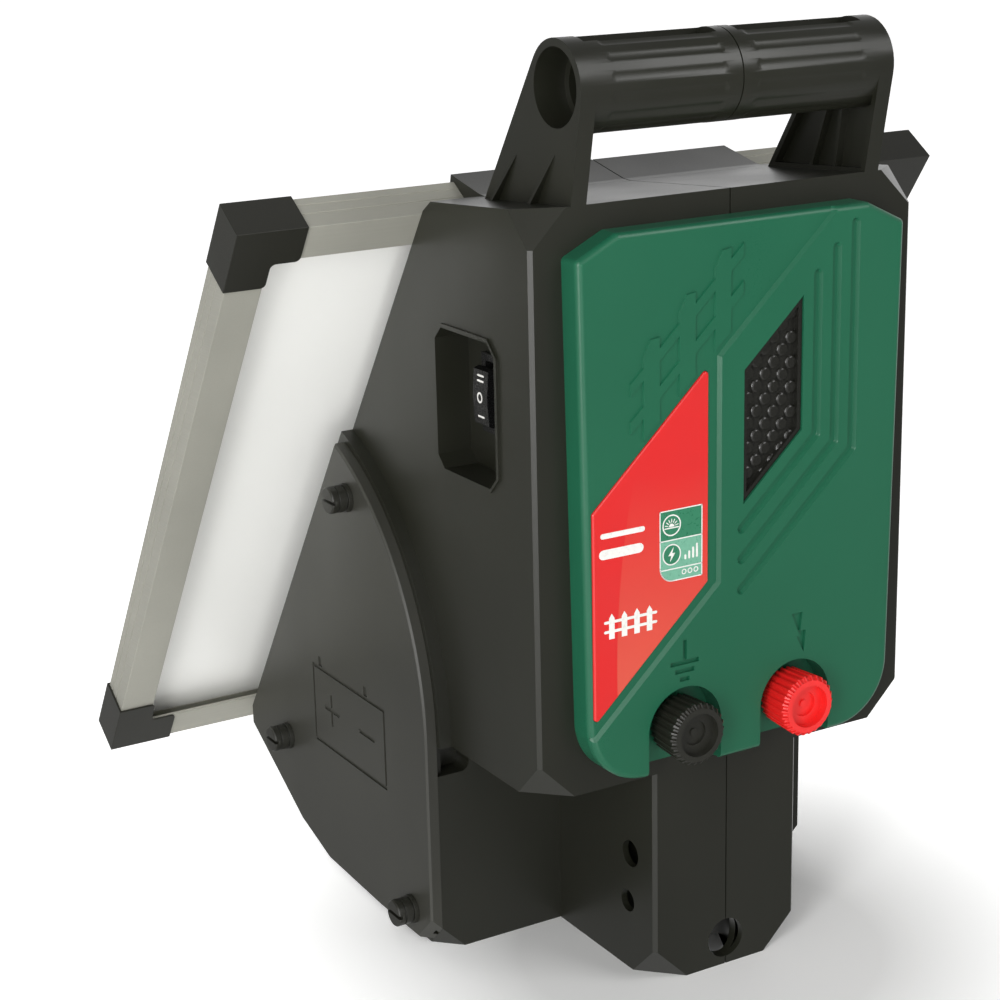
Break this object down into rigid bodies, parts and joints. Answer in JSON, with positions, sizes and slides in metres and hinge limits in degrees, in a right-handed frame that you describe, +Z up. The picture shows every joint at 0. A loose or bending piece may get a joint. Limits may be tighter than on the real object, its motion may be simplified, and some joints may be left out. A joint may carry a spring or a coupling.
{
  "type": "solar fence energizer",
  "caption": "Portable electric fence energizer with a leaning framed solar panel, carrying handle, battery bay, rocker switch, post socket and two screw terminals.",
  "frame": {"origin": "centre of the mouth of the post socket, on the plane of the base", "axes": "+Z up along the post, -Y towards the operator in front of the green cover, +X to the right of the front"},
  "size_m": [0.3504, 0.3169, 0.4019],
  "materials": {
    "housing_plastic": "satin",
    "cover_plastic": "satin",
    "green_plastic": "satin",
    "red_label": "gloss",
    "grille_plastic": "satin",
    "cap_plastic": "satin",
    "black_knob_plastic": "satin",
    "red_knob_plastic": "satin",
    "screw_plastic": "satin",
    "switch_plastic": "satin",
    "rocker_plastic": "gloss",
    "stainless": "satin",
    "brass": "satin",
    "rubber": "matte",
    "foam": "matte",
    "battery_plastic": "satin",
    "lead": "matte",
    "tinned": "satin",
    "lead_black": "satin",
    "lead_red": "satin",
    "board": "satin",
    "core_steel": "satin",
    "copper": "satin",
    "can_aluminium": "satin",
    "lamp": "gloss",
    "frame_aluminium": "satin",
    "panel_glass": "gloss",
    "cells": "gloss",
    "back_sheet": "satin",
    "junction_plastic": "satin"
  },
  "bodies": {
    "root": {"housing_left": "housing_plastic", "housing_right": "housing_plastic", "front_cover": "green_plastic", "label_plate": "red_label", "grille_insert": "grille_plastic", "corner_cap_top_left": "cap_plastic", "corner_cap_top_right": "cap_plastic", "corner_cap_bottom_left": "cap_plastic", "corner_cap_bottom_right": "cap_plastic", "switch_body": "switch_plastic", "earth_stud": "stainless", "fence_stud": "stainless", "stud_nuts": "stainless", "stud_lock_nuts": "stainless", "housing_screws": "stainless", "front_cover_screws": "stainless", "circuit_board_screws": "stainless", "earth_contact_plate": "brass", "fence_contact_plate": "brass", "switch_terminals": "brass", "front_cover_seal": "rubber", "battery_pad_right": "foam", "battery_case": "battery_plastic", "battery_plates": "lead", "battery_terminals": "tinned", "battery_lead_negative": "lead_black", "earth_lead": "lead_black", "panel_lead": "lead_black", "battery_lead_positive": "lead_red", "fence_lead": "lead_red", "circuit_board": "board", "transformer_core": "core_steel", "transformer_winding": "copper", "storage_capacitors": "can_aluminium", "heat_sink": "can_aluminium", "status_lamp": "lamp", "panel_rail_top": "frame_aluminium", "panel_rail_bottom": "frame_aluminium", "panel_rail_left": "frame_aluminium", "panel_rail_right": "frame_aluminium", "panel_glass": "panel_glass", "solar_cells": "cells", "back_sheet": "back_sheet", "junction_box": "junction_plastic", "junction_box_lid": "junction_plastic"},
    "switch_rocker": {"switch_rocker": "rocker_plastic"},
    "earth_washer": {"earth_washer": "stainless"},
    "earth_knob": {"earth_knob": "black_knob_plastic", "earth_knob_bush": "brass"},
    "fence_washer": {"fence_washer": "stainless"},
    "fence_knob": {"fence_knob": "red_knob_plastic", "fence_knob_bush": "brass"},
    "battery_cover": {"battery_cover": "cover_plastic", "battery_cover_seal": "rubber", "battery_pad_left": "foam"},
    "cover_screw_upper": {"cover_screw_upper": "screw_plastic"},
    "cover_screw_rear": {"cover_screw_rear": "screw_plastic"},
    "cover_screw_front": {"cover_screw_front": "screw_plastic"}
  },
  "joints": [
    {"name": "switch_rock", "type": "hinge", "parent": "root", "child": "switch_rocker", "pos_m": [-0.0795, 0.031, 0.257], "axis": [0, 1, 0], "range_deg": [-12, 12]},
    {"name": "earth_washer_slide", "type": "slide", "parent": "root", "child": "earth_washer", "axis": [0, -1, 0], "range_m": [0, 0.004]},
    {"name": "earth_knob_turn", "type": "hinge", "parent": "earth_washer", "child": "earth_knob", "pos_m": [-0.0304, -0.0256, 0.1223], "axis": [0, -1, 0], "range_deg": [0, 1440.5]},
    {"name": "fence_washer_slide", "type": "slide", "parent": "root", "child": "fence_washer", "axis": [0, -1, 0], "range_m": [0, 0.004]},
    {"name": "fence_knob_turn", "type": "hinge", "parent": "fence_washer", "child": "fence_knob", "pos_m": [0.0258, -0.0256, 0.1223], "axis": [0, -1, 0], "range_deg": [0, 1440.5]},
    {"name": "battery_cover_slide", "type": "slide", "parent": "root", "child": "battery_cover", "axis": [-1, 0, 0], "range_m": [0, 0.08]},
    {"name": "cover_screw_upper_turn", "type": "hinge", "parent": "battery_cover", "child": "cover_screw_upper", "pos_m": [-0.1042, 0.1224, 0.1956], "axis": [-1, 0, 0], "range_deg": [0, 90]},
    {"name": "cover_screw_rear_turn", "type": "hinge", "parent": "battery_cover", "child": "cover_screw_rear", "pos_m": [-0.1042, 0.1989, 0.0555], "axis": [-1, 0, 0], "range_deg": [0, 90]},
    {"name": "cover_screw_front_turn", "type": "hinge", "parent": "battery_cover", "child": "cover_screw_front", "pos_m": [-0.1042, 0.0738, 0.0154], "axis": [-1, 0, 0], "range_deg": [0, 90]}
  ],
  "couplings": [
    {"joint": "earth_knob_turn", "follows": "earth_washer_slide", "rad_per_m": 6283.2},
    {"joint": "fence_knob_turn", "follows": "fence_washer_slide", "rad_per_m": 6283.2}
  ]
}
